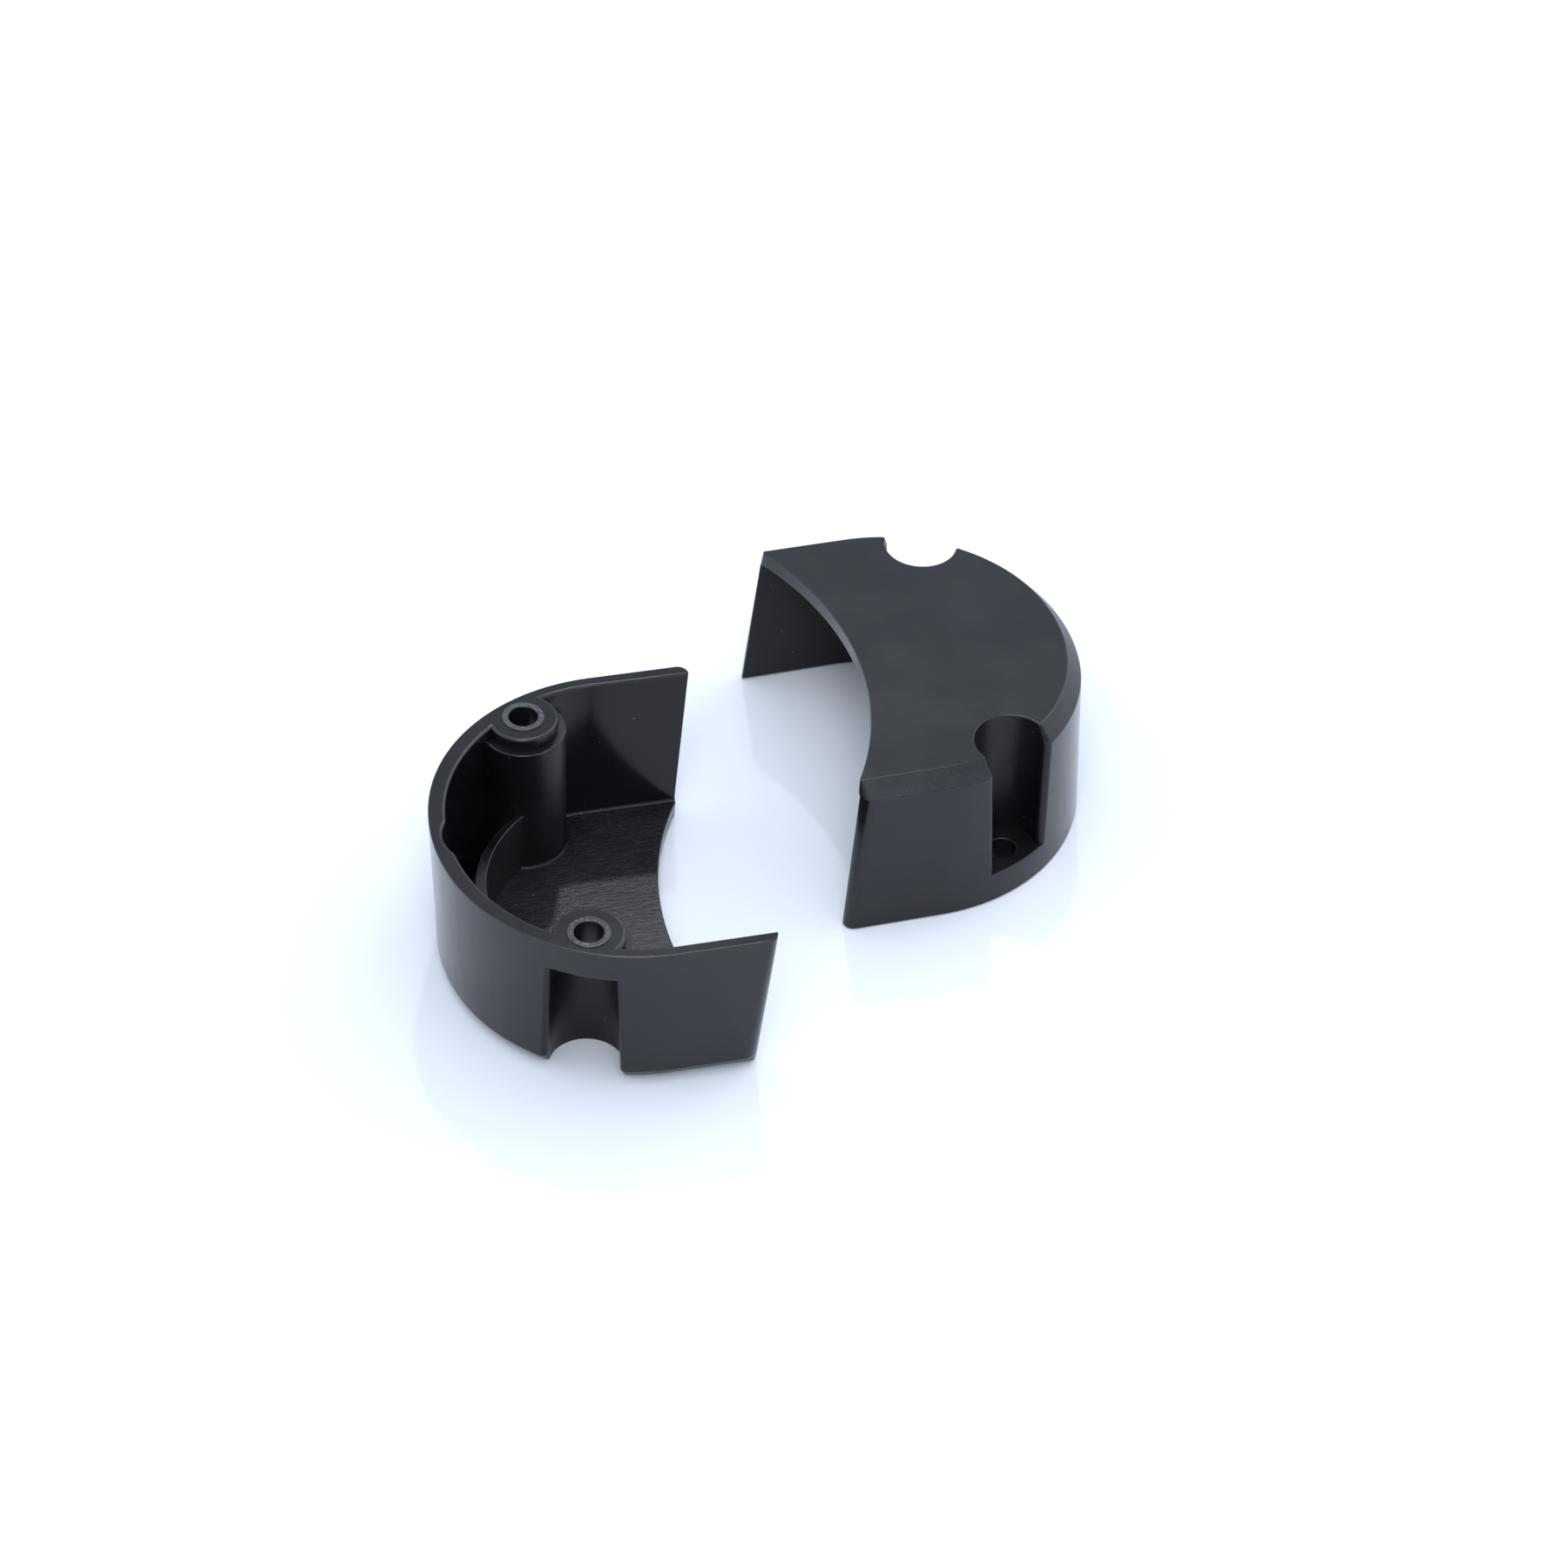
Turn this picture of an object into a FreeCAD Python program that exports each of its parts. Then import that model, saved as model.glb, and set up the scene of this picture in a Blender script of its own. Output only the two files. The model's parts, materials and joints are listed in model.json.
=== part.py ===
import FreeCAD, Part
import math
import os

# A pair of identical injection-moulded D-shaped covers, lying apart on a flat surface.
# One lies on its closed face with its hollow side up, the other stands on its rim.
# All sizes are in millimetres. A cover is first modelled in its own moulding frame:
# rim on z = 0, closed face at z = HEIGHT, mouth towards +X, symmetric about y = 0.

# Outside of one cover
HEIGHT = 27.6            # rim to closed face
HALF_WIDTH = 31.0        # middle plane to the outside of a straight side wall
MOUTH_AT_RIM = 29.2      # x of the side walls' ends at the rim
MOUTH_AT_FACE = 27.15    # x of the side walls' ends at the closed face
SHOULDER_RADIUS = 30.18  # arc from a side wall round to the back
SHOULDER_X = 13.88       # x of the shoulder arcs' centres
BACK_RADIUS = 34.15      # flatter arc across the back
MOUTH_CORNER = 1.7       # rounding of the mouth ends' outer corners
MOUTH_CORNER_CHAMFER = 2.3    # the same corner at the lower edge of the chamfer
MOUTH_CORNER_FACE = 0.3  # the same corner where the chamfer reaches the closed face
DRAFT = 1.31             # how far the outside leans in from rim to closed face
CHAMFER_WIDE = 2.1       # chamfer round the closed face, measured across
CHAMFER_DEEP = 2.7       # the same chamfer, measured down the wall

# Walls
SIDE_WALL = 1.9          # side walls in front of the bolt bosses
BACK_WALL = 2.6          # wall behind the bolt bosses
FACE_PLATE = 2.6         # thickness of the closed face
FOOT_FILLET = 0.5        # inside rounding where walls and bosses meet the plate, not at the rib

# Concave arc that the mouth cuts in the closed face
MOUTH_ARC_RADIUS = 53.3
MOUTH_ARC_X = 73.06      # x of its centre

# Bolt bosses, one at each side
BOSS_X = 2.25
BOSS_Y = 24.0
BOLT_HOLE_RADIUS = 2.2   # clearance hole for an M4 bolt
LEDGE = 5.2              # material under the bolt head, up from the rim
COLLAR_RADIUS = 3.3      # raised collar round the hole on the rim side
COLLAR_HEIGHT = 0.2
DISC_RADIUS = 5.35       # boss where it is flush with the rim
DISC_DEPTH = 2.1
TUBE_RADIUS_TOP = 6.57   # wider boss below the step
TUBE_RADIUS_FOOT = 6.8
RECESS_RADIUS_LEDGE = 5.35   # bolt-head recess, open to the closed face and the side
RECESS_RADIUS_FACE = 5.7
RECESS_FILLET = 0.95     # rounding of the recess's upright edges
RECESS_FILLET_FACE = 0.35

# Low curved rib between the two bosses, thickest in the middle of the back
RIB_OUTER_RADIUS = 21.4
RIB_OUTER_X = 11.9       # x of the outer arc's centre
RIB_INNER_RADIUS = 21.8
RIB_INNER_X = 14.1       # x of the inner arc's centre
RIB_TOP = 14.3           # distance of its top edge from the rim

# Shallow upright groove in the middle of the back wall, inside
GROOVE_RADIUS = 6.4
GROOVE_BOTTOM_X = -14.7

# Where the cover that stands on its rim lies, from the upturned one
RIM_DOWN_X = 75.2
RIM_DOWN_Y = 28.4
RIM_DOWN_TURN = 181.99   # degrees about Z

BEYOND = 40.0            # how far cutting shapes run past the mouth

SHOULDER_Y = HALF_WIDTH - SHOULDER_RADIUS
BACK_X = SHOULDER_X + math.sqrt((BACK_RADIUS - SHOULDER_RADIUS) ** 2 - SHOULDER_Y ** 2)


def point(x, y, z):
    return FreeCAD.Vector(x, y, z)


def on_circle(centre, radius, angle):
    """Point of a level circle round centre, at an angle in radians."""
    return centre + point(radius * math.cos(angle), radius * math.sin(angle), 0)


def direction(start, end):
    """Angle in radians of the level line from start to end."""
    return math.atan2(end.y - start.y, end.x - start.x)


def arc(centre, radius, start, end):
    """Arc edge between two angles in radians."""
    middle = on_circle(centre, radius, (start + end) / 2)
    return Part.Arc(on_circle(centre, radius, start), middle, on_circle(centre, radius, end)).toShape()


def line(start, end):
    return Part.LineSegment(start, end).toShape()


def mirrored(edges):
    """The same edges on the other side of the middle plane, in running order."""
    return [edge.mirror(point(0, 0, 0), point(0, 1, 0)) for edge in reversed(edges)]


def loft(*wires):
    return Part.makeLoft(list(wires), True, True)


def lean(z):
    """How far the outside leans in at height z."""
    return DRAFT * z / HEIGHT


def mouth_x(z):
    return MOUTH_AT_RIM + (MOUTH_AT_FACE - MOUTH_AT_RIM) * z / HEIGHT


def recess_radius(z):
    return RECESS_RADIUS_LEDGE + (RECESS_RADIUS_FACE - RECESS_RADIUS_LEDGE) * (z - LEDGE) / (HEIGHT - LEDGE)


def shoulder_centre(z):
    return point(SHOULDER_X, SHOULDER_Y, z)


def back_angle():
    """Direction in which the shoulder arc runs on into the back arc."""
    return math.atan2(SHOULDER_Y, SHOULDER_X - BACK_X)


def corner_angle(base, near, opposite):
    """Angle of a triangle between the sides base and near, facing the side opposite."""
    return math.acos((base ** 2 + near ** 2 - opposite ** 2) / (2 * base * near))


def notched_shoulder(z, radius, fillet):
    """Shoulder arc with the bolt-head recess in it, its edges rounded by fillet."""
    centre = shoulder_centre(z)
    boss = point(BOSS_X, BOSS_Y, z)
    recess = recess_radius(z)
    outward = direction(centre, boss)
    apart = centre.distanceToPoint(boss)
    to_fillet = radius - fillet
    from_boss = recess + fillet
    swing = corner_angle(apart, to_fillet, from_boss)
    wrap = corner_angle(apart, from_boss, to_fillet)
    front = on_circle(centre, to_fillet, outward - swing)
    rear = on_circle(centre, to_fillet, outward + swing)
    inward = outward - math.pi
    return [
        arc(centre, radius, math.pi / 2, outward - swing),
        arc(front, fillet, outward - swing, outward + wrap),
        arc(boss, recess, inward + wrap, inward - wrap),
        arc(rear, fillet, outward - wrap, outward + swing),
        arc(centre, radius, outward + swing, back_angle()),
    ]


def outside_wire(z, inset, fillet=None, corner=MOUTH_CORNER):
    """Closed outline of the cover at height z; a fillet radius asks for the recesses as well."""
    half = HALF_WIDTH - inset
    front = mouth_x(z)
    radius = SHOULDER_RADIUS - inset
    side = [
        arc(point(front - corner, half - corner, z), corner, 0, math.pi / 2),
        line(point(front - corner, half, z), point(SHOULDER_X, half, z)),
    ]
    if fillet is None:
        side.append(arc(shoulder_centre(z), radius, math.pi / 2, back_angle()))
    else:
        side.extend(notched_shoulder(z, radius, fillet))
    back = arc(point(BACK_X, 0, z), BACK_RADIUS - inset, back_angle(), 2 * math.pi - back_angle())
    mouth = line(point(front, corner - half, z), point(front, half - corner, z))
    return Part.Wire(Part.sortEdges(side + [back] + mirrored(side) + [mouth])[0])


def outside():
    """Leaning D-shaped block with its chamfer and both bolt-head recesses."""
    shoulder = HEIGHT - CHAMFER_DEEP
    low = loft(outside_wire(0, 0), outside_wire(LEDGE, lean(LEDGE)))
    middle = loft(
        outside_wire(LEDGE, lean(LEDGE), RECESS_FILLET),
        outside_wire(shoulder, lean(shoulder), RECESS_FILLET, MOUTH_CORNER_CHAMFER),
    )
    top = loft(
        outside_wire(shoulder, lean(shoulder), RECESS_FILLET, MOUTH_CORNER_CHAMFER),
        outside_wire(HEIGHT, DRAFT + CHAMFER_WIDE, RECESS_FILLET_FACE, MOUTH_CORNER_FACE),
    )
    return low.fuse([middle, top]).removeSplitter()


def hollow_wire(z):
    """Inside outline at height z, run on past the mouth; the wall thickens behind the bosses."""
    half = HALF_WIDTH - lean(z) - SIDE_WALL
    centre = shoulder_centre(z)
    change = direction(centre, point(BOSS_X, BOSS_Y, z))
    thin = SHOULDER_RADIUS - lean(z) - SIDE_WALL
    thick = SHOULDER_RADIUS - lean(z) - BACK_WALL
    side = [
        line(point(BEYOND, half, z), point(SHOULDER_X, half, z)),
        arc(centre, thin, math.pi / 2, change),
        line(on_circle(centre, thin, change), on_circle(centre, thick, change)),
        arc(centre, thick, change, back_angle()),
    ]
    radius = BACK_RADIUS - lean(z) - BACK_WALL
    back = arc(point(BACK_X, 0, z), radius, back_angle(), 2 * math.pi - back_angle())
    mouth = line(point(BEYOND, -half, z), point(BEYOND, half, z))
    return Part.Wire(Part.sortEdges(side + [back] + mirrored(side) + [mouth])[0])


def groove():
    """Round-bottomed upright groove in the back wall."""
    depth = HEIGHT - FACE_PLATE
    centre = GROOVE_BOTTOM_X + GROOVE_RADIUS
    return Part.makeCone(GROOVE_RADIUS, GROOVE_RADIUS - lean(depth), depth, point(centre, 0, 0))


def boss(side):
    """Disc flush with the rim on a wider tube that carries on down to the plate."""
    disc = Part.makeCylinder(DISC_RADIUS, DISC_DEPTH, point(BOSS_X, side * BOSS_Y, 0))
    tall = HEIGHT - DISC_DEPTH
    tube = Part.makeCone(TUBE_RADIUS_TOP, TUBE_RADIUS_FOOT, tall, point(BOSS_X, side * BOSS_Y, DISC_DEPTH))
    return disc.fuse(tube)


def rib():
    """Low curved wall that runs round the back from boss to boss."""
    tall = HEIGHT - RIB_TOP
    base = point(RIB_OUTER_X, 0, RIB_TOP)
    end = math.degrees(direction(point(RIB_OUTER_X, 0, 0), point(BOSS_X, BOSS_Y, 0)))
    sector = Part.makeCylinder(RIB_OUTER_RADIUS, tall, base, point(0, 0, 1), 360 - 2 * end)
    sector.rotate(base, point(0, 0, 1), end)
    return sector.cut(Part.makeCylinder(RIB_INNER_RADIUS, tall, point(RIB_INNER_X, 0, RIB_TOP)))


def along_rib(edge):
    """True for the edges where the rib's two curved sides meet the plate."""
    if not isinstance(edge.Curve, Part.Circle):
        return False
    return round(edge.Curve.Radius, 3) in (RIB_OUTER_RADIUS, RIB_INNER_RADIUS)


def hollow():
    """Space inside the cover, open at the rim and the mouth, rounded at the plate but sharp at the rib."""
    depth = HEIGHT - FACE_PLATE
    space = loft(hollow_wire(0), hollow_wire(depth)).fuse(groove())
    space = space.cut([boss(1), boss(-1), rib()])
    foot = [edge for edge in space.Edges if edge.BoundBox.ZMin > depth - FOOT_FILLET]
    foot = [edge for edge in foot if edge.BoundBox.XMin < BEYOND - FOOT_FILLET]
    foot = [edge for edge in foot if not along_rib(edge)]
    return space.makeFillet(FOOT_FILLET, foot)


def mouth_arc():
    """Round cutter for the concave edge of the closed face."""
    base = point(MOUTH_ARC_X, 0, HEIGHT - FACE_PLATE)
    return Part.makeCylinder(MOUTH_ARC_RADIUS, 2 * FACE_PLATE, base)


def collar(side):
    base = point(BOSS_X, side * BOSS_Y, -COLLAR_HEIGHT)
    return Part.makeCylinder(COLLAR_RADIUS, COLLAR_HEIGHT, base)


def bolt_hole(side):
    base = point(BOSS_X, side * BOSS_Y, -2 * COLLAR_HEIGHT)
    return Part.makeCylinder(BOLT_HOLE_RADIUS, LEDGE + 4 * COLLAR_HEIGHT, base)


def cover():
    """One whole cover in its moulding frame."""
    shape = outside().cut(hollow())
    shape = shape.cut(mouth_arc())
    shape = shape.fuse([collar(1), collar(-1)])
    shape = shape.cut([bolt_hole(1), bolt_hole(-1)])
    return shape.removeSplitter().Solids[0]


def upturned(shape):
    """The cover on its closed face, hollow side up."""
    turned = shape.copy()
    turned.rotate(point(0, 0, 0), point(1, 0, 0), 180)
    turned.translate(point(0, 0, HEIGHT))
    return turned


def rim_down(shape):
    """The cover on its collars, closed face up, its mouth towards the other one."""
    turned = shape.copy()
    turned.rotate(point(0, 0, 0), point(0, 0, 1), RIM_DOWN_TURN)
    turned.translate(point(RIM_DOWN_X, RIM_DOWN_Y, COLLAR_HEIGHT))
    return turned


def main():
    moulding = cover()
    pieces = {"upturned_cover": upturned(moulding), "rim_down_cover": rim_down(moulding)}
    box = Part.makeCompound(list(pieces.values())).optimalBoundingBox(False, False)
    middle = point(-box.Center.x, -box.Center.y, -box.ZMin)
    os.makedirs("parts", exist_ok=True)
    for name, piece in pieces.items():
        piece.translate(middle)
        piece.exportStep("parts/" + name + ".step")
        print(name, round(piece.Volume, 1), piece.isValid(), len(piece.Faces))
    print("size", round(box.XLength, 2), round(box.YLength, 2), round(box.ZLength, 2))
    print("offset", round(middle.x, 3), round(middle.y, 3), round(middle.z, 3))


main()
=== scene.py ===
import json
from math import cos, radians

import bmesh
import bpy
from mathutils import Matrix, Vector
from mathutils.bvhtree import BVHTree

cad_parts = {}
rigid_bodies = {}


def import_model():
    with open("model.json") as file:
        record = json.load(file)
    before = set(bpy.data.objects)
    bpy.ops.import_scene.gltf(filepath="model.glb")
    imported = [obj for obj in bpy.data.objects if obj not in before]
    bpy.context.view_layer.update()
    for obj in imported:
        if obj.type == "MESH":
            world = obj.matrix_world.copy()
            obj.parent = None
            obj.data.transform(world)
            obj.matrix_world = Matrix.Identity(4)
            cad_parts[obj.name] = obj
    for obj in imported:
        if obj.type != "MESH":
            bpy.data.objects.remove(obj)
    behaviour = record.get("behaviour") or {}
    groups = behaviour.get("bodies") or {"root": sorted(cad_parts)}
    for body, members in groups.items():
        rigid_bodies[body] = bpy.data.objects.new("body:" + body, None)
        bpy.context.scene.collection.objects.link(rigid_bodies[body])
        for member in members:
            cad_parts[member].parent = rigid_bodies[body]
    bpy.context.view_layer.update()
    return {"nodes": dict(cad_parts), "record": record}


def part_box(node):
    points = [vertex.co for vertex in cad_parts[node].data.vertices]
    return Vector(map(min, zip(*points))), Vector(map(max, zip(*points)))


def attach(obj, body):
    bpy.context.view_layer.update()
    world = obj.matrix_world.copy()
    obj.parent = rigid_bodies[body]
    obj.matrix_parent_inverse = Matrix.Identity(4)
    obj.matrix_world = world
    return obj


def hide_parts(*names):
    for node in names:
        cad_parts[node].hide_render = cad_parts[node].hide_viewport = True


for thing in list(bpy.data.objects):
    bpy.data.objects.remove(thing)
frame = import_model()
MM = 0.001

# ---- Camera -------------------------------------------------------------------------------
# A long lens that looks down on the pair from the near left, with the horizon a little tilted.
lens_turn, lens_dip, lens_roll = radians(-14.56), radians(42.06), radians(2.25)
aim = (Matrix.Rotation(lens_turn, 3, "Z") @ Matrix.Rotation(radians(90) - lens_dip, 3, "X")
       @ Matrix.Rotation(lens_roll, 3, "Z"))
bpy.ops.object.camera_add(location=(-0.15224, -0.55593, 0.53977), rotation=aim.to_euler())
camera = bpy.context.object
camera.name = "camera"
camera.data.lens = 116.77
camera.data.sensor_width = 36
camera.data.shift_x = 0.045
camera.data.shift_y = -0.011
camera.data.clip_start = 0.01
bpy.context.scene.camera = camera


# ---- Table --------------------------------------------------------------------------------
# A wide white table top of matt plastic.
def deselect_all():
    if bpy.context.object and bpy.context.object.mode != "OBJECT":
        bpy.ops.object.mode_set(mode="OBJECT")
    bpy.ops.object.select_all(action="DESELECT")


deselect_all()
bpy.ops.mesh.primitive_plane_add(size=6)
table = bpy.context.object
table.name = "table"
table_white = bpy.data.materials.new("table_white")
table_white.use_nodes = True
table_shader = table_white.node_tree.nodes["Principled BSDF"]
table_shader.inputs["Base Color"].default_value = (0.80, 0.815, 0.87, 1)
table_shader.inputs["Roughness"].default_value = 0.7
table_shader.inputs["Specular IOR Level"].default_value = 0.2
table.data.materials.append(table_white)


# ---- Light --------------------------------------------------------------------------------
# The inside of a white tent glows all round, less so near the table. Soft lamps stand to the
# right, to the left, overhead and above the front; a small, harder one is high up behind.
tent = bpy.data.worlds.new("light_tent")
bpy.context.scene.world = tent
tent.use_nodes = True
tent_glow = tent.node_tree.nodes["Background"]
tent_glow.inputs["Color"].default_value = (0.82, 0.91, 1.06, 1)
heading = tent.node_tree.nodes.new("ShaderNodeTexCoord")
steepness = tent.node_tree.nodes.new("ShaderNodeSeparateXYZ")
tent.node_tree.links.new(heading.outputs["Generated"], steepness.inputs["Vector"])
brighter_up = tent.node_tree.nodes.new("ShaderNodeMapRange")
tent.node_tree.links.new(steepness.outputs["Z"], brighter_up.inputs["Value"])
brighter_up.inputs["From Max"].default_value = 0.5
brighter_up.inputs["To Min"].default_value = 0.50
brighter_up.inputs["To Max"].default_value = 0.98
tent.node_tree.links.new(brighter_up.outputs["Result"], tent_glow.inputs["Strength"])


def soft_lamp(name, place, size, power):
    """A square lamp that shines at the middle of the table."""
    facing = (-Vector(place)).to_track_quat("-Z", "Y").to_euler()
    bpy.ops.object.light_add(type="AREA", location=place, rotation=facing)
    lamp = bpy.context.object
    lamp.name = name
    lamp.data.size = size
    lamp.data.energy = power
    lamp.data.color = (0.93, 0.97, 1.0)


soft_lamp("lamp_right", (0.75, 0.25, 0.5), 0.8, 2.5)
soft_lamp("lamp_left", (-0.85, 0.2, 0.55), 0.8, 1.4)
soft_lamp("lamp_over", (0, -0.1, 1.3), 0.8, 2.4)
soft_lamp("lamp_behind", (0.24, 0.92, 1.34), 0.06, 3.3)
soft_lamp("lamp_front", (-0.2, -0.62, 0.85), 0.4, 3.6)
bpy.context.scene.view_settings.view_transform = "Standard"

# ---- Plastic ------------------------------------------------------------------------------
# Both covers are moulded from the same near-black plastic, and the tool gave each face its own
# finish: satin outside, lapped rim, polished cavity, duller where the cores of the bosses are
# drawn out, cutter marks on the floor, spark-eroded chamfer and worn, grainy collars.
BLACK = (0.0042, 0.0040, 0.0052)
CHARCOAL = (0.0075, 0.0074, 0.0090)
DUST = (0.10, 0.105, 0.11)
RUB_DULLING = 0.025      # roughness that a rub mark adds


def shader_group(name, inputs, outputs):
    """An empty node group with its sockets; returns it with its input and output nodes."""
    group = bpy.data.node_groups.new(name, "ShaderNodeTree")
    for socket, kind, value in inputs:
        made = group.interface.new_socket(name=socket, in_out="INPUT", socket_type=kind)
        if value is not None:
            made.default_value = value
    for socket in outputs:
        group.interface.new_socket(name=socket, in_out="OUTPUT", socket_type="NodeSocketFloat")
    return group, group.nodes.new("NodeGroupInput"), group.nodes.new("NodeGroupOutput")


def add_math(tree, operation, first, second):
    """A Math node; each of its two inputs is a socket or a number."""
    node = tree.nodes.new("ShaderNodeMath")
    node.operation = operation
    for slot, value in enumerate((first, second)):
        if isinstance(value, (int, float)):
            node.inputs[slot].default_value = value
        else:
            tree.links.new(value, node.inputs[slot])
    return node.outputs["Value"]


def add_noise(tree, vector, scale, detail=2.0, roughness=0.5):
    """A noise texture; returns its value."""
    node = tree.nodes.new("ShaderNodeTexNoise")
    tree.links.new(vector, node.inputs["Vector"])
    if isinstance(scale, (int, float)):
        node.inputs["Scale"].default_value = scale
    else:
        tree.links.new(scale, node.inputs["Scale"])
    node.inputs["Detail"].default_value = detail
    node.inputs["Roughness"].default_value = roughness
    return node.outputs["Fac"]


def add_range(tree, value, low, high, new_low=0.0, new_high=1.0):
    """Maps low..high of a value to new_low..new_high, and clamps it."""
    node = tree.nodes.new("ShaderNodeMapRange")
    tree.links.new(value, node.inputs["Value"])
    for socket, number in zip(("From Min", "From Max", "To Min", "To Max"),
                              (low, high, new_low, new_high)):
        node.inputs[socket].default_value = number
    return node.outputs["Result"]


# Grain of the moulded surface: fine pits, and broad cloudy patches where the melt cooled
# unevenly. Size is the width of a pit in metres.
grain, grain_in, grain_out = shader_group(
    "moulded_grain",
    [("Vector", "NodeSocketVector", None), ("Size", "NodeSocketFloat", 0.3 * MM)],
    ["Height", "Cloud", "Speckle"])
per_metre = add_math(grain, "DIVIDE", 1.0, grain_in.outputs["Size"])
pits = add_noise(grain, grain_in.outputs["Vector"], per_metre, 3.0, 0.6)
cloud = add_noise(grain, grain_in.outputs["Vector"], 90.0, 3.0, 0.55)
grain.links.new(pits, grain_out.inputs["Height"])
grain.links.new(add_range(grain, cloud, 0.35, 0.65), grain_out.inputs["Cloud"])
grain.links.new(add_range(grain, pits, 0.52, 0.72), grain_out.inputs["Speckle"])

# Dust and rubbing: single pale specks caught on the plastic, and faint long rub marks
# that fingers and the next moulding in the box leave.
dust, dust_in, dust_out = shader_group(
    "dust_and_rubbing",
    [("Vector", "NodeSocketVector", None), ("Spacing", "NodeSocketFloat", 2.4 * MM)],
    ["Specks", "Rubbed"])
cells = dust.nodes.new("ShaderNodeTexVoronoi")
dust.links.new(dust_in.outputs["Vector"], cells.inputs["Vector"])
dust.links.new(add_math(dust, "DIVIDE", 1.0, dust_in.outputs["Spacing"]), cells.inputs["Scale"])
chance = dust.nodes.new("ShaderNodeSeparateColor")
dust.links.new(cells.outputs["Color"], chance.inputs["Color"])
near_speck = add_range(dust, cells.outputs["Distance"], 0.045, 0.075, 1.0, 0.0)
speck_here = add_math(dust, "GREATER_THAN", chance.outputs["Red"], 0.55)
dust.links.new(add_math(dust, "MULTIPLY", near_speck, speck_here), dust_out.inputs["Specks"])
stroke = dust.nodes.new("ShaderNodeMapping")
stroke.inputs["Rotation"].default_value = (0.3, 0.5, 0.6)
stroke.inputs["Scale"].default_value = (60, 900, 900)
dust.links.new(dust_in.outputs["Vector"], stroke.inputs["Vector"])
strokes = add_noise(dust, stroke.outputs["Vector"], 1.0, 2.0)
patches = add_noise(dust, dust_in.outputs["Vector"], 160.0, 2.0)
rub_lines = add_range(dust, strokes, 0.60, 0.72)
rub_places = add_range(dust, patches, 0.50, 0.62)
dust.links.new(add_math(dust, "MULTIPLY", rub_lines, rub_places), dust_out.inputs["Rubbed"])

# Cutter marks: short parallel ridges that run along X of the pattern. Pitch is their spacing.
marks, marks_in, marks_out = shader_group(
    "cutter_marks",
    [("Vector", "NodeSocketVector", None), ("Pitch", "NodeSocketFloat", 0.42 * MM)],
    ["Height", "Line"])
drawn_out = marks.nodes.new("ShaderNodeMapping")
drawn_out.inputs["Scale"].default_value = (0.28, 1.0, 1.0)
marks.links.new(marks_in.outputs["Vector"], drawn_out.inputs["Vector"])
mark_scale = add_math(marks, "DIVIDE", 0.62, marks_in.outputs["Pitch"])
ridges = add_noise(marks, drawn_out.outputs["Vector"], mark_scale, 4.0, 0.68)
marks.links.new(ridges, marks_out.inputs["Height"])
marks.links.new(add_range(marks, ridges, 0.50, 0.68), marks_out.inputs["Line"])


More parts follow.
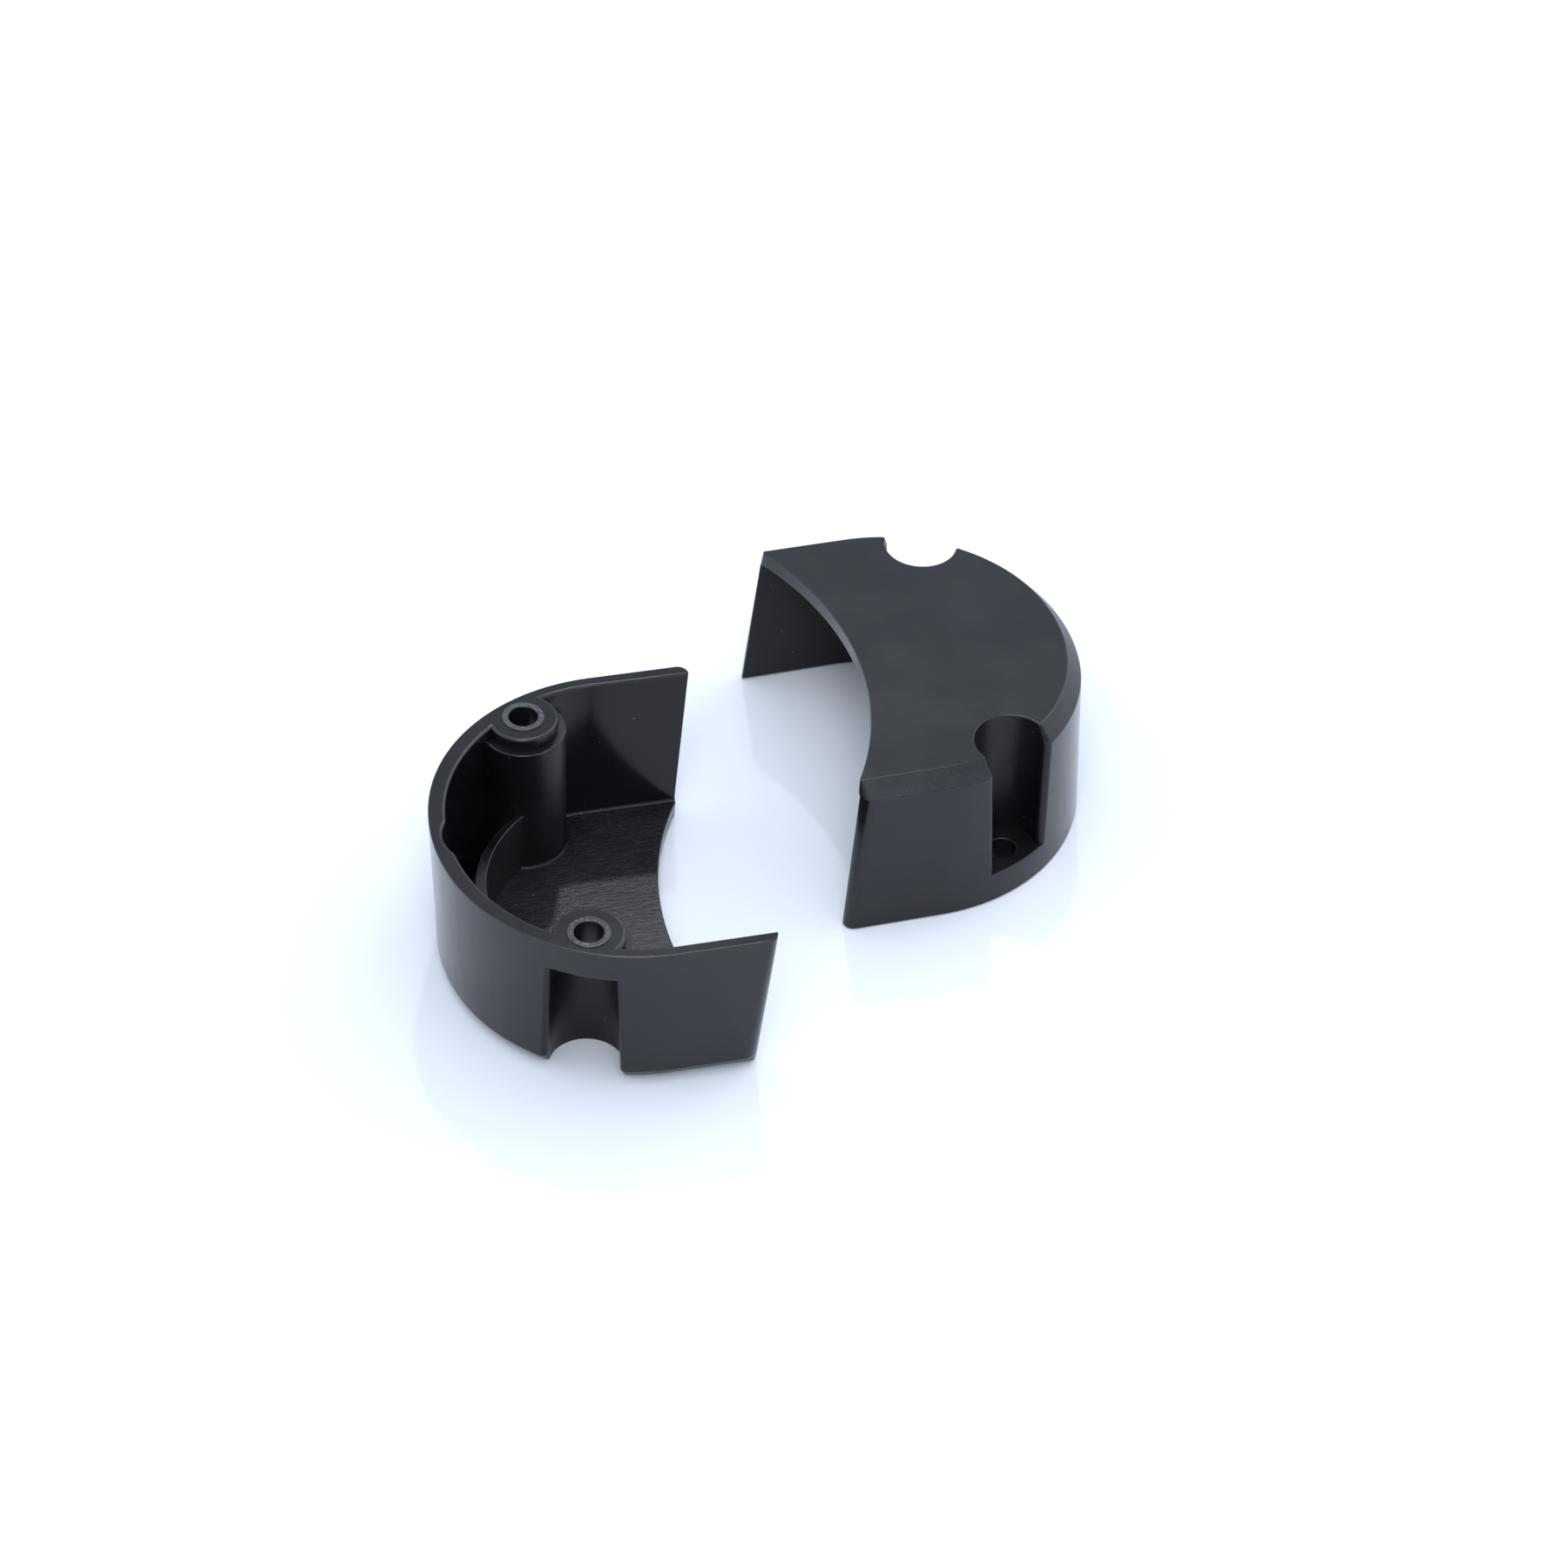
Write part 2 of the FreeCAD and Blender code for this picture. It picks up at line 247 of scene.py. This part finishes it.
def moulded_plastic(name, gloss, grain_size, grain_depth, speckle=0.0, specks=1.0, marks_turn=None,
                    marks_depth=0.0, tint=(BLACK, CHARCOAL), shine=0.43):
    """One finish of the plastic. gloss is the roughness at its smoothest and roughest spots,
    tint its darkest and lightest colour, speckle and specks the strength of pale grains and
    of dust. Depths are in metres. marks_turn turns the cutter marks, or None for no marks."""
    finish = bpy.data.materials.new(name)
    finish.use_nodes = True
    tree = finish.node_tree
    shader = tree.nodes["Principled BSDF"]
    place = tree.nodes.new("ShaderNodeTexCoord").outputs["Object"]
    skin = tree.nodes.new("ShaderNodeGroup")
    skin.node_tree = grain
    skin.inputs["Size"].default_value = grain_size
    tree.links.new(place, skin.inputs["Vector"])
    dirt = tree.nodes.new("ShaderNodeGroup")
    dirt.node_tree = dust
    tree.links.new(place, dirt.inputs["Vector"])

    shade = tree.nodes.new("ShaderNodeMix")
    shade.data_type = "RGBA"
    shade.inputs["A"].default_value = (*tint[0], 1)
    shade.inputs["B"].default_value = (*tint[1], 1)
    speckles = add_math(tree, "MULTIPLY", skin.outputs["Speckle"], speckle)
    clouds = add_math(tree, "MULTIPLY", skin.outputs["Cloud"], 0.5)
    lightness = add_math(tree, "ADD", clouds, speckles)
    height = add_math(tree, "MULTIPLY", skin.outputs["Height"], grain_depth)
    if marks_turn is not None:
        turned = tree.nodes.new("ShaderNodeMapping")
        turned.inputs["Rotation"].default_value = (0, 0, marks_turn)
        tree.links.new(place, turned.inputs["Vector"])
        ridge = tree.nodes.new("ShaderNodeGroup")
        ridge.node_tree = marks
        tree.links.new(turned.outputs["Vector"], ridge.inputs["Vector"])
        ridge_height = add_math(tree, "MULTIPLY", ridge.outputs["Height"], marks_depth)
        height = add_math(tree, "ADD", height, ridge_height)
        lightness = add_math(tree, "ADD", lightness, ridge.outputs["Line"])
    tree.links.new(lightness, shade.inputs["Factor"])
    dusty = tree.nodes.new("ShaderNodeMix")
    dusty.data_type = "RGBA"
    dusty.inputs["B"].default_value = (*DUST, 1)
    tree.links.new(shade.outputs["Result"], dusty.inputs["A"])
    specks_here = add_math(tree, "MULTIPLY", dirt.outputs["Specks"], specks)
    tree.links.new(specks_here, dusty.inputs["Factor"])
    tree.links.new(dusty.outputs["Result"], shader.inputs["Base Color"])

    smoothest, roughest = gloss
    rough = add_range(tree, skin.outputs["Cloud"], 0.0, 1.0, smoothest, roughest)
    rubbed = add_math(tree, "MULTIPLY", dirt.outputs["Rubbed"], RUB_DULLING)
    tree.links.new(add_math(tree, "ADD", rough, rubbed), shader.inputs["Roughness"])
    bump = tree.nodes.new("ShaderNodeBump")
    bump.inputs["Distance"].default_value = 1.0
    tree.links.new(height, bump.inputs["Height"])
    tree.links.new(bump.outputs["Normal"], shader.inputs["Normal"])
    shader.inputs["Specular IOR Level"].default_value = shine
    return finish


satin = moulded_plastic("satin_outside", (0.15, 0.20), 0.5 * MM, 0.0012 * MM, specks=0.1)
lapped = moulded_plastic("lapped_rim", (0.13, 0.17), 0.5 * MM, 0.0012 * MM, specks=0.2, shine=0.31)
drawn = moulded_plastic("drawn_bosses", (0.36, 0.42), 0.5 * MM, 0.0015 * MM, specks=0.6, shine=0.32)
polished = moulded_plastic("polished_cavity", (0.13, 0.18), 1.5 * MM, 0.001 * MM, shine=0.36)
eroded = moulded_plastic("spark_eroded", (0.38, 0.44), 0.28 * MM, 0.006 * MM, speckle=0.9,
                         specks=0.3, tint=((0.011, 0.011, 0.013), (0.032, 0.032, 0.035)))
collar_skin = moulded_plastic("worn_collar", (0.36, 0.50), 0.45 * MM, 0.08 * MM, speckle=2.4,
                              specks=0.3, tint=((0.004, 0.004, 0.005), (0.085, 0.085, 0.09)))
# Rounded edges: paler than the other finishes. This is partly real rubbing and partly a painted
# highlight for the bright lines of light along the lips and edges.
rubbed_edge_and_highlight = moulded_plastic("rubbed_edge_and_highlight", (0.20, 0.28), 0.4 * MM, 0.003 * MM, speckle=0.6,
                              specks=0.2, tint=((0.012, 0.012, 0.014), (0.030, 0.030, 0.033)))

# ---- Upturned cover -----------------------------------------------------------------------
# One injection moulding in black plastic, laid on its closed face. Its sharp edges come out
# of the tool about 0.2 mm round, and the floor inside keeps the mould cutter's marks.
EDGE_ROUND = 0.18 * MM
LIP_ROUND = 0.42 * MM     # inner lip of the rim and of the discs flush with it
SHARP = radians(25)       # edges at least this sharp are rounded
PLATE = 2.6 * MM          # thickness of the closed face
HEIGHT = 27.6 * MM
CHAMFER = 2.7 * MM
BOSS_REACH = 7.2 * MM     # a bolt hole's axis to just past the skin of its boss
RIB_CENTRE = 9.65 * MM    # middle between the bolt holes to the centre of the rib's arc
RIB_RING = (19.3 * MM, 21.6 * MM)    # that centre to just inside and just past the rib
CORNER = (3.5 * MM, 5 * MM, PLATE + 0.8 * MM)    # mouth corner: along, across and deep
CLOSE = 0.05 * MM         # two levels this close are one


def take_up(piece):
    """Makes the piece the only selected one, ready for the next operator."""
    deselect_all()
    piece.select_set(True)
    bpy.context.view_layer.objects.active = piece


def select_edges(piece, wanted):
    """Selects the edges for which wanted(edge) holds. The piece is in edit mode."""
    mesh = bmesh.from_edit_mesh(piece.data)
    mesh.normal_update()
    bpy.ops.mesh.select_all(action="DESELECT")
    for edge in mesh.edges:
        edge.select = wanted(edge)
    bmesh.update_edit_mesh(piece.data)


def outline_of(piece):
    """The piece's outside as a search tree: its mesh pulled tight, with no hollows."""
    tight = bmesh.new()
    for corner in piece.data.vertices:
        tight.verts.new(corner.co)
    bmesh.ops.convex_hull(tight, input=tight.verts)
    return BVHTree.FromBMesh(tight)


def lies_outside(outline, centre, normal):
    """True where a face is part of the outside and not of a hollow."""
    spot, facing, _, gap = outline.find_nearest(centre)
    return gap < 0.08 * MM and facing.dot(normal) > cos(radians(12))


def mouth_end(node):
    """x of the mouth end of a cover: the side that faces the other cover."""
    low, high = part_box(node)
    return high[0] if high[0] < 0 else low[0]


def arc_of_rib(body, mouth_x):
    """The bolt holes of a cover, the centre of its rib's arc, and the way to its mouth."""
    holes = [Vector(mount["pos_m"]).xy for mount in frame["record"]["mounts"]
             if mount["name"].startswith(body + "_bolt_hole")]
    middle = (holes[0] + holes[1]) / 2
    across = (holes[1] - holes[0]).normalized()
    to_mouth = Vector((across.y, -across.x))
    if to_mouth.x * (mouth_x - middle.x) < 0:
        to_mouth = -to_mouth
    return holes, middle + to_mouth * RIB_CENTRE, to_mouth


def moulded_cover(node, name, body, face_z, up, floor_finish):
    """Makes a cover from its CAD node. face_z is the height of its closed face, and up is 1
    where the rim is above that face or -1 where it is below."""
    take_up(frame["nodes"][node])
    bpy.ops.object.duplicate()
    cover = bpy.context.object
    cover.name = name
    cover.parent = None
    bpy.ops.object.mode_set(mode="EDIT")
    bpy.ops.mesh.select_all(action="SELECT")
    bpy.ops.mesh.remove_doubles(threshold=0.002 * MM)
    bpy.ops.mesh.customdata_custom_splitnormals_clear()
    bpy.ops.mesh.dissolve_limited(angle_limit=radians(0.3))
    bpy.ops.object.mode_set(mode="OBJECT")
    outline = outline_of(cover)

    # Each face gets the finish of its place. Depth runs from the closed face towards the rim.
    finishes = [satin, lapped, polished, drawn, floor_finish, eroded, collar_skin, rubbed_edge_and_highlight]
    SATIN, RIM, POLISHED, DRAWN, FLOOR, ERODED, COLLAR, EDGE = range(len(finishes))
    mouth_x = mouth_end(node)
    holes, rib_centre, to_mouth = arc_of_rib(body, mouth_x)
    cover.data.materials.clear()
    for finish in finishes:
        cover.data.materials.append(finish)
    for face in cover.data.polygons:
        depth = (face.center.z - face_z) * up
        towards_rim = face.normal.z * up
        if depth > HEIGHT + CLOSE:
            place = COLLAR
        elif towards_rim > 0.99 and abs(depth - PLATE) < CLOSE:
            place = FLOOR
        elif towards_rim > 0.99 and depth > HEIGHT - CLOSE:
            place = RIM
        elif not lies_outside(outline, face.center, face.normal):
            to_hole = min((hole - face.center.xy).length for hole in holes)
            from_rib_centre = face.center.xy - rib_centre
            on_rib = (from_rib_centre.dot(to_mouth) < 0
                      and RIB_RING[0] < from_rib_centre.length < RIB_RING[1])
            place = DRAWN if to_hole < BOSS_REACH or on_rib else POLISHED
        elif depth < CHAMFER and -0.98 < towards_rim < -0.2:
            place = ERODED
        else:
            place = SATIN
        face.material_index = place

    low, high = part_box(node)
    bpy.ops.object.mode_set(mode="EDIT")

    def is_lip(edge):
        beside = [face.material_index for face in edge.link_faces]
        middle = (edge.verts[0].co + edge.verts[1].co) / 2
        at_rim = abs((middle.z - face_z) * up - HEIGHT) < CLOSE
        into_hollow = POLISHED in beside or DRAWN in beside
        return at_rim and RIM in beside and into_hollow and edge.calc_face_angle_signed(0) > SHARP

    # The plate's two mouth corners are left as they are: the walls' rounded foot ends there.
    def worth_rounding(edge):
        if len(edge.link_faces) != 2 or edge.calc_face_angle_signed(0) < SHARP:
            return False
        middle = (edge.verts[0].co + edge.verts[1].co) / 2
        depth = (middle.z - face_z) * up
        by_mouth = abs(middle.x - mouth_x) < CORNER[0]
        beside_wall = min(middle.y - low[1], high[1] - middle.y) < CORNER[1]
        return not (by_mouth and beside_wall and depth < CORNER[2])

    # The new rounded faces take the paler edge finish, which carries a painted highlight along each
    # rounded edge.
    for wanted, radius, steps in ((is_lip, LIP_ROUND, 5), (worth_rounding, EDGE_ROUND, 3)):
        select_edges(cover, wanted)
        bpy.ops.mesh.bevel(offset=radius, offset_type="OFFSET", segments=steps, profile=0.5,
                           affect="EDGES", clamp_overlap=False, material=EDGE)
    bpy.ops.mesh.select_all(action="DESELECT")
    bpy.ops.object.mode_set(mode="OBJECT")
    bpy.ops.object.shade_smooth_by_angle(angle=radians(30))
    even = cover.modifiers.new("even_shading", "WEIGHTED_NORMAL")
    even.keep_sharp = True
    bpy.ops.object.modifier_apply(modifier=even.name)
    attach(cover, body)
    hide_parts(node)


def marked_floor(name, turn):
    """The finish of the floor inside, with its cutter marks turned to suit the cover."""
    return moulded_plastic(name, (0.29, 0.34), 0.4 * MM, 0.010 * MM, speckle=0.7,
                           marks_turn=turn, marks_depth=0.12 * MM,
                           tint=(BLACK, (0.014, 0.014, 0.016)), shine=0.42)


floor_upturned = marked_floor("floor_upturned", 0.0)
moulded_cover("upturned_cover", "cover_upturned", "upturned", 0.0, 1, floor_upturned)

# ---- Rim-down cover -----------------------------------------------------------------------
# A second moulding from the same tool, stood on the collars round its bolt holes. It is
# turned nearly half round, so the cutter marks under its plate turn with it.
RIM_DOWN_TURN = radians(181.99)
floor_rim_down = marked_floor("floor_rim_down", -RIM_DOWN_TURN)
moulded_cover("rim_down_cover", "cover_rim_down", "rim_down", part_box("rim_down_cover")[1][2], -1,
              floor_rim_down)
